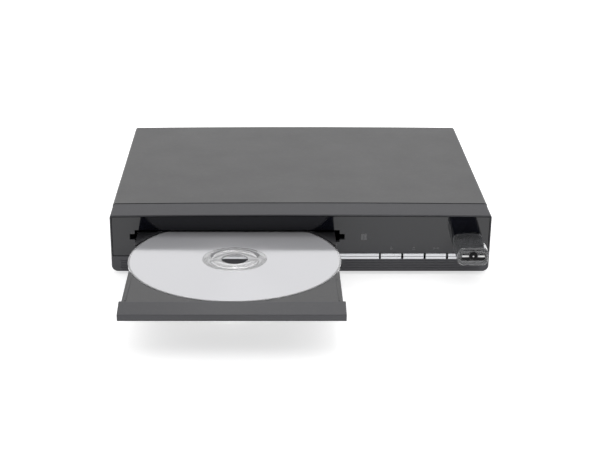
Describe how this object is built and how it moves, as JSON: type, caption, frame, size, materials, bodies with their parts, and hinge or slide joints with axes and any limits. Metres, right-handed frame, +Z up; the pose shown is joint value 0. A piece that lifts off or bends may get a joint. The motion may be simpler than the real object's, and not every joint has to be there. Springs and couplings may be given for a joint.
{
  "type": "compact disc player",
  "caption": "Compact table-top tray-loading disc player with its tray open, a mirror disc on it and a memory stick in the front socket.",
  "frame": {"origin": "bottom centre of the whole object with its tray open: on the plane of the feet, under the middle of everything from the tray lip to the rear sockets", "axes": "+Z up, +Y to the rear, +X to the right seen from the front; the tray opens towards -Y"},
  "size_m": [0.2256, 0.3006, 0.0389],
  "materials": {
    "cover_paint": "matte",
    "chassis_steel": "satin",
    "foot_rubber": "matte",
    "screw_steel": "satin",
    "fascia_plastic": "satin",
    "panel_gloss": "gloss",
    "key_silver": "satin",
    "board_green": "satin",
    "part_black": "matte",
    "bright_metal": "satin",
    "white_plastic": "satin",
    "tray_plastic": "matte",
    "disc_mirror": "polished",
    "deck_plastic": "matte",
    "motor_steel": "satin",
    "belt_rubber": "matte",
    "brass_metal": "satin",
    "cast_alloy": "satin",
    "lens_glass": "gloss",
    "ferrite": "matte",
    "barrel_metal": "polished",
    "stick_clear": "gloss",
    "stick_black": "gloss"
  },
  "bodies": {
    "chassis": {"bottom_chassis": "chassis_steel", "top_cover": "cover_paint", "rubber_feet": "foot_rubber", "cover_screws": "screw_steel", "deck_screws": "screw_steel", "board_screws": "screw_steel", "front_fascia": "fascia_plastic", "front_panel": "panel_gloss", "key_trim_bar": "key_silver", "key_board": "board_green", "tact_switches": "part_black", "display_module": "part_black", "ir_receiver": "part_black", "usb_socket": "bright_metal", "usb_tongue": "white_plastic", "usb_board": "board_green", "deck_frame": "deck_plastic", "clamp_bridge": "chassis_steel", "loading_motor": "motor_steel", "drive_belt": "belt_rubber", "main_board": "board_green", "main_board_chips": "part_black", "power_board": "board_green", "power_transformer": "ferrite", "power_capacitors": "ferrite", "heat_sink": "cast_alloy", "phono_block": "part_black", "phono_barrels": "barrel_metal", "phono_inserts": "part_black", "digital_port": "bright_metal", "mains_inlet": "part_black", "inlet_pins": "bright_metal", "front_ribbon": "white_plastic"},
    "tray": {"disc_tray": "tray_plastic", "tray_lip": "tray_plastic"},
    "disc": {"disc": "disc_mirror"},
    "tray_gear": {"tray_gear": "white_plastic"},
    "pulley_gear": {"pulley_gear": "white_plastic"},
    "motor_pulley": {"motor_pulley": "brass_metal"},
    "cam": {"cam_slider": "white_plastic"},
    "traverse": {"traverse_frame": "motor_steel", "spindle_motor": "motor_steel", "guide_rods": "bright_metal", "sled_motor": "motor_steel"},
    "turntable": {"turntable": "deck_plastic", "turntable_pad": "belt_rubber"},
    "clamper": {"clamper": "white_plastic"},
    "pickup": {"pickup_sled": "cast_alloy"},
    "lens": {"lens_holder": "deck_plastic", "objective_lens": "lens_glass"},
    "lead_screw": {"lead_screw": "bright_metal"},
    "stick": {"stick_shell": "stick_clear", "stick_core": "stick_black", "stick_plug": "bright_metal"},
    "key_power": {"key_power": "key_silver"},
    "key_eject": {"key_eject": "key_silver"},
    "key_play": {"key_play": "key_silver"},
    "key_stop": {"key_stop": "key_silver"}
  },
  "joints": [
    {"name": "tray_slide", "type": "slide", "parent": "chassis", "child": "tray", "axis": [0, -1, 0], "range_m": [-0.114, 0]},
    {"name": "disc_spin", "type": "hinge", "parent": "tray", "child": "disc", "pos_m": [-0.038, -0.0784, 0.026], "axis": [0, 0, 1], "continuous": true},
    {"name": "tray_gear_spin", "type": "hinge", "parent": "chassis", "child": "tray_gear", "pos_m": [0.0055, -0.0043, 0.0185], "axis": [0, 0, 1], "continuous": true},
    {"name": "pulley_gear_spin", "type": "hinge", "parent": "chassis", "child": "pulley_gear", "pos_m": [-0.0092, -0.0043, 0.0155], "axis": [0, 0, 1], "continuous": true},
    {"name": "motor_pulley_spin", "type": "hinge", "parent": "chassis", "child": "motor_pulley", "pos_m": [-0.052, -0.0047, 0.0135], "axis": [0, 0, 1], "continuous": true},
    {"name": "cam_slide", "type": "slide", "parent": "chassis", "child": "cam", "axis": [1, 0, 0], "range_m": [-0.014, 0]},
    {"name": "traverse_tilt", "type": "hinge", "parent": "chassis", "child": "traverse", "pos_m": [-0.038, 0.1127, 0.017], "axis": [1, 0, 0], "range_deg": [-4.82, 0]},
    {"name": "turntable_spin", "type": "hinge", "parent": "traverse", "child": "turntable", "pos_m": [-0.038, 0.03533, 0.01703], "axis": [0, -0.0837, 0.9965], "continuous": true},
    {"name": "clamper_spin", "type": "hinge", "parent": "chassis", "child": "clamper", "pos_m": [-0.038, 0.0356, 0.0305], "axis": [0, 0, 1], "continuous": true},
    {"name": "pickup_slide", "type": "slide", "parent": "traverse", "child": "pickup", "axis": [0, 0.9965, 0.0837], "range_m": [-0.017, 0.017]},
    {"name": "lens_focus", "type": "slide", "parent": "pickup", "child": "lens", "axis": [0, -0.0837, 0.9965], "range_m": [-0.0004, 0.0004], "stiffness_N_per_m": 40},
    {"name": "lead_screw_spin", "type": "hinge", "parent": "traverse", "child": "lead_screw", "pos_m": [-0.003, 0.07268, 0.01555], "axis": [0, 0.9965, 0.0837], "continuous": true},
    {"name": "stick_slide", "type": "slide", "parent": "chassis", "child": "stick", "axis": [0, -1, 0], "range_m": [0, 0.03]},
    {"name": "key_power_press", "type": "slide", "parent": "chassis", "child": "key_power", "axis": [0, 1, 0], "range_m": [0, 0.0005], "stiffness_N_per_m": 1500, "springref_m": -0.0002},
    {"name": "key_eject_press", "type": "slide", "parent": "chassis", "child": "key_eject", "axis": [0, 1, 0], "range_m": [0, 0.0005], "stiffness_N_per_m": 1500, "springref_m": -0.0002},
    {"name": "key_play_press", "type": "slide", "parent": "chassis", "child": "key_play", "axis": [0, 1, 0], "range_m": [0, 0.0005], "stiffness_N_per_m": 1500, "springref_m": -0.0002},
    {"name": "key_stop_press", "type": "slide", "parent": "chassis", "child": "key_stop", "axis": [0, 1, 0], "range_m": [0, 0.0005], "stiffness_N_per_m": 1500, "springref_m": -0.0002}
  ],
  "couplings": [
    {"joint": "tray_gear_spin", "follows": "tray_slide", "rad_per_m": -125},
    {"joint": "pulley_gear_spin", "follows": "tray_slide", "rad_per_m": 312.5},
    {"joint": "motor_pulley_spin", "follows": "tray_slide", "rad_per_m": 878.91},
    {"joint": "traverse_tilt", "follows": "cam_slide", "rad_per_m": 5.984},
    {"joint": "clamper_spin", "follows": "turntable_spin", "ratio": 1},
    {"joint": "lead_screw_spin", "follows": "pickup_slide", "rad_per_m": 2094.4}
  ]
}
